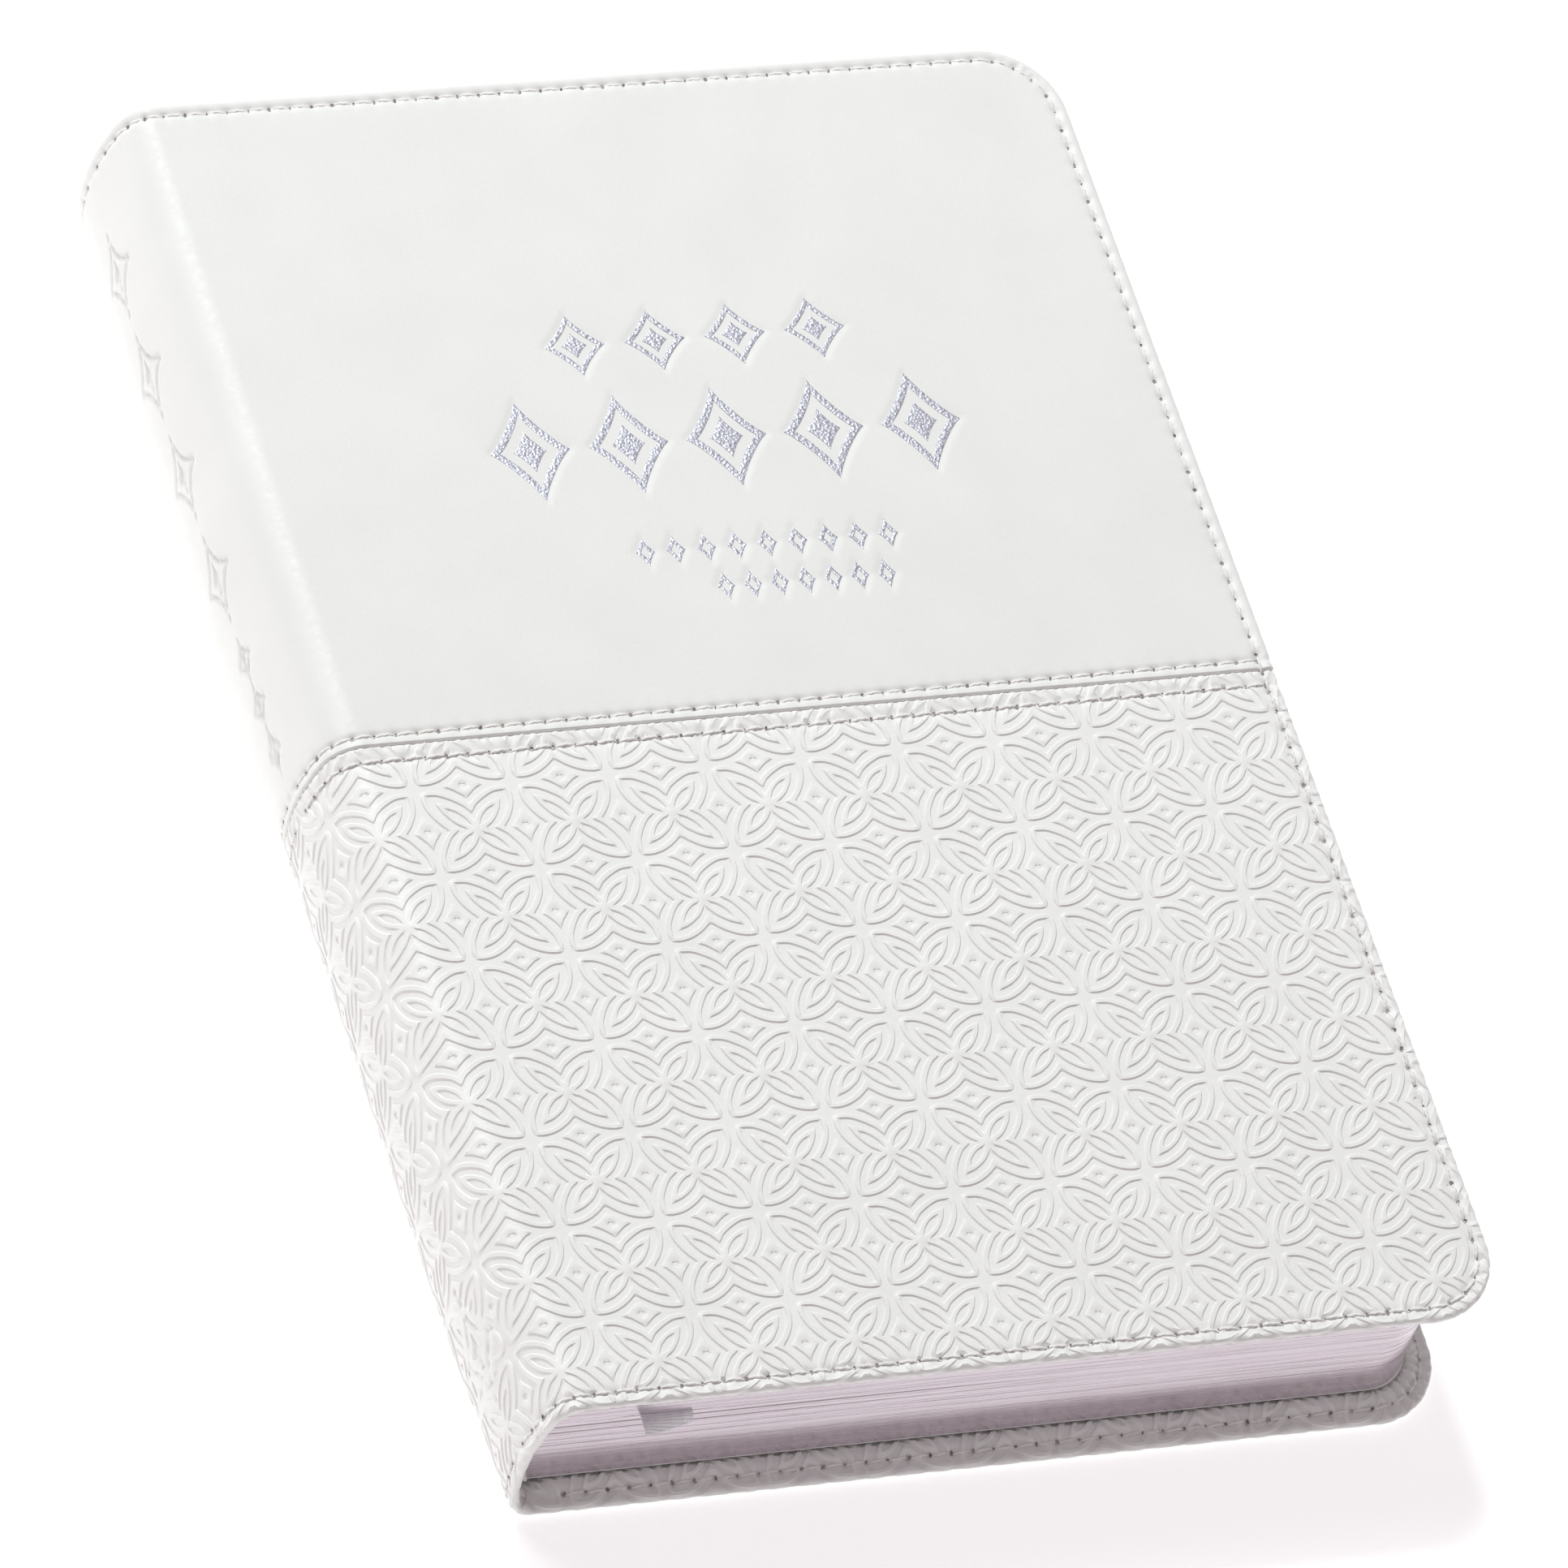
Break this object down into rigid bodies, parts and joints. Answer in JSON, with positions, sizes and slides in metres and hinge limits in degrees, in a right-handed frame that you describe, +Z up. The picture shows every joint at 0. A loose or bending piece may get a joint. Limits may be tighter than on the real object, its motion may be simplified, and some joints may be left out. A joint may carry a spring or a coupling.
{
  "type": "bible",
  "caption": "Small flexible-cover bible in two-tone white leather, smooth above and embossed below, with stitched edges, gilt pages and a ribbon marker.",
  "frame": {"origin": "middle of the underside of the back cover, where the closed book rests", "axes": "+Z up through the front cover, +Y towards the head of the book, +X towards the fore-edge, with the spine at -X"},
  "size_m": [0.141, 0.213, 0.0269],
  "materials": {
    "smooth_leather": "smooth matte white faux leather with a very fine grain",
    "embossed_leather": "white faux leather embossed with a tiled petal and ring pattern",
    "thread": "white twisted sewing thread",
    "foil": "pale silver stamping foil, finely crinkled",
    "board": "flexible grey card",
    "endpaper": "plain white endpaper",
    "pages": "thin printing paper, edges gilt in pale lilac silver",
    "ribbon": "silver grey satin ribbon",
    "band": "white woven band",
    "mull": "open starched gauze",
    "liner": "kraft lining paper"
  },
  "bodies": {
    "block": {"front_sewn_folds": "pages", "gathering_04": "pages", "gathering_05": "pages", "gathering_06": "pages", "gathering_07": "pages", "gathering_08": "pages", "gathering_09": "pages", "gathering_10": "pages", "gathering_11": "pages", "gathering_12": "pages", "gathering_13": "pages", "gathering_14": "pages", "gathering_15": "pages", "gathering_16": "pages", "head_band": "band", "ribbon_marker": "ribbon", "sewing_threads": "thread", "spine_head_stitching": "thread", "spine_leather_embossed": "embossed_leather", "spine_leather_smooth": "smooth_leather", "spine_liner": "liner", "spine_mull": "mull", "spine_seam_stitching_lower": "thread", "spine_seam_stitching_upper": "thread", "spine_stiffener": "board", "spine_tail_stitching": "thread", "tail_band": "band"},
    "front_cover": {"front_board": "board", "front_edge_stitching": "thread", "front_foil_ornament": "foil", "front_infill_card": "board", "front_leather_embossed": "embossed_leather", "front_leather_smooth": "smooth_leather", "front_pastedown": "endpaper", "front_seam_stitching_lower": "thread", "front_seam_stitching_upper": "thread"},
    "back_cover": {"back_board": "board", "back_edge_stitching": "thread", "back_infill_card": "board", "back_leather_embossed": "embossed_leather", "back_leather_smooth": "smooth_leather", "back_pastedown": "endpaper", "back_seam_stitching_lower": "thread", "back_seam_stitching_upper": "thread"},
    "flyleaf_front": {"front_flyleaf": "endpaper"},
    "leaves_1": {"gathering_01": "pages"},
    "leaves_2": {"gathering_02": "pages"},
    "leaves_3": {"gathering_03": "pages"},
    "flyleaf_back": {"back_flyleaf": "endpaper"}
  },
  "joints": [
    {"name": "front_cover_hinge", "type": "hinge", "parent": "block", "child": "front_cover", "pos_m": [-0.0627, 0, 0.02705], "axis": [0, -1, 0], "range_deg": [0, 180]},
    {"name": "front_flyleaf_turn", "type": "hinge", "parent": "block", "child": "flyleaf_front", "pos_m": [-0.0627, 0, 0.02705], "axis": [0, -1, 0], "range_deg": [0, 174]},
    {"name": "leaves_1_turn", "type": "hinge", "parent": "block", "child": "leaves_1", "pos_m": [-0.0627, 0, 0.02705], "axis": [0, -1, 0], "range_deg": [0, 167]},
    {"name": "leaves_2_turn", "type": "hinge", "parent": "block", "child": "leaves_2", "pos_m": [-0.0627, 0, 0.02705], "axis": [0, -1, 0], "range_deg": [0, 156]},
    {"name": "leaves_3_turn", "type": "hinge", "parent": "block", "child": "leaves_3", "pos_m": [-0.0627, 0, 0.02705], "axis": [0, -1, 0], "range_deg": [0, 142]},
    {"name": "back_cover_hinge", "type": "hinge", "parent": "block", "child": "back_cover", "pos_m": [-0.0627, 0, -0.00015], "axis": [0, 1, 0], "range_deg": [0, 180]},
    {"name": "back_flyleaf_turn", "type": "hinge", "parent": "block", "child": "flyleaf_back", "pos_m": [-0.0627, 0, -0.00015], "axis": [0, 1, 0], "range_deg": [0, 170]}
  ],
  "couplings": [
    {"joint": "front_flyleaf_turn", "follows": "front_cover_hinge", "ratio": 0.96},
    {"joint": "leaves_1_turn", "follows": "front_cover_hinge", "ratio": 0.92},
    {"joint": "leaves_2_turn", "follows": "front_cover_hinge", "ratio": 0.86},
    {"joint": "leaves_3_turn", "follows": "front_cover_hinge", "ratio": 0.78},
    {"joint": "back_flyleaf_turn", "follows": "back_cover_hinge", "ratio": 0.94}
  ]
}
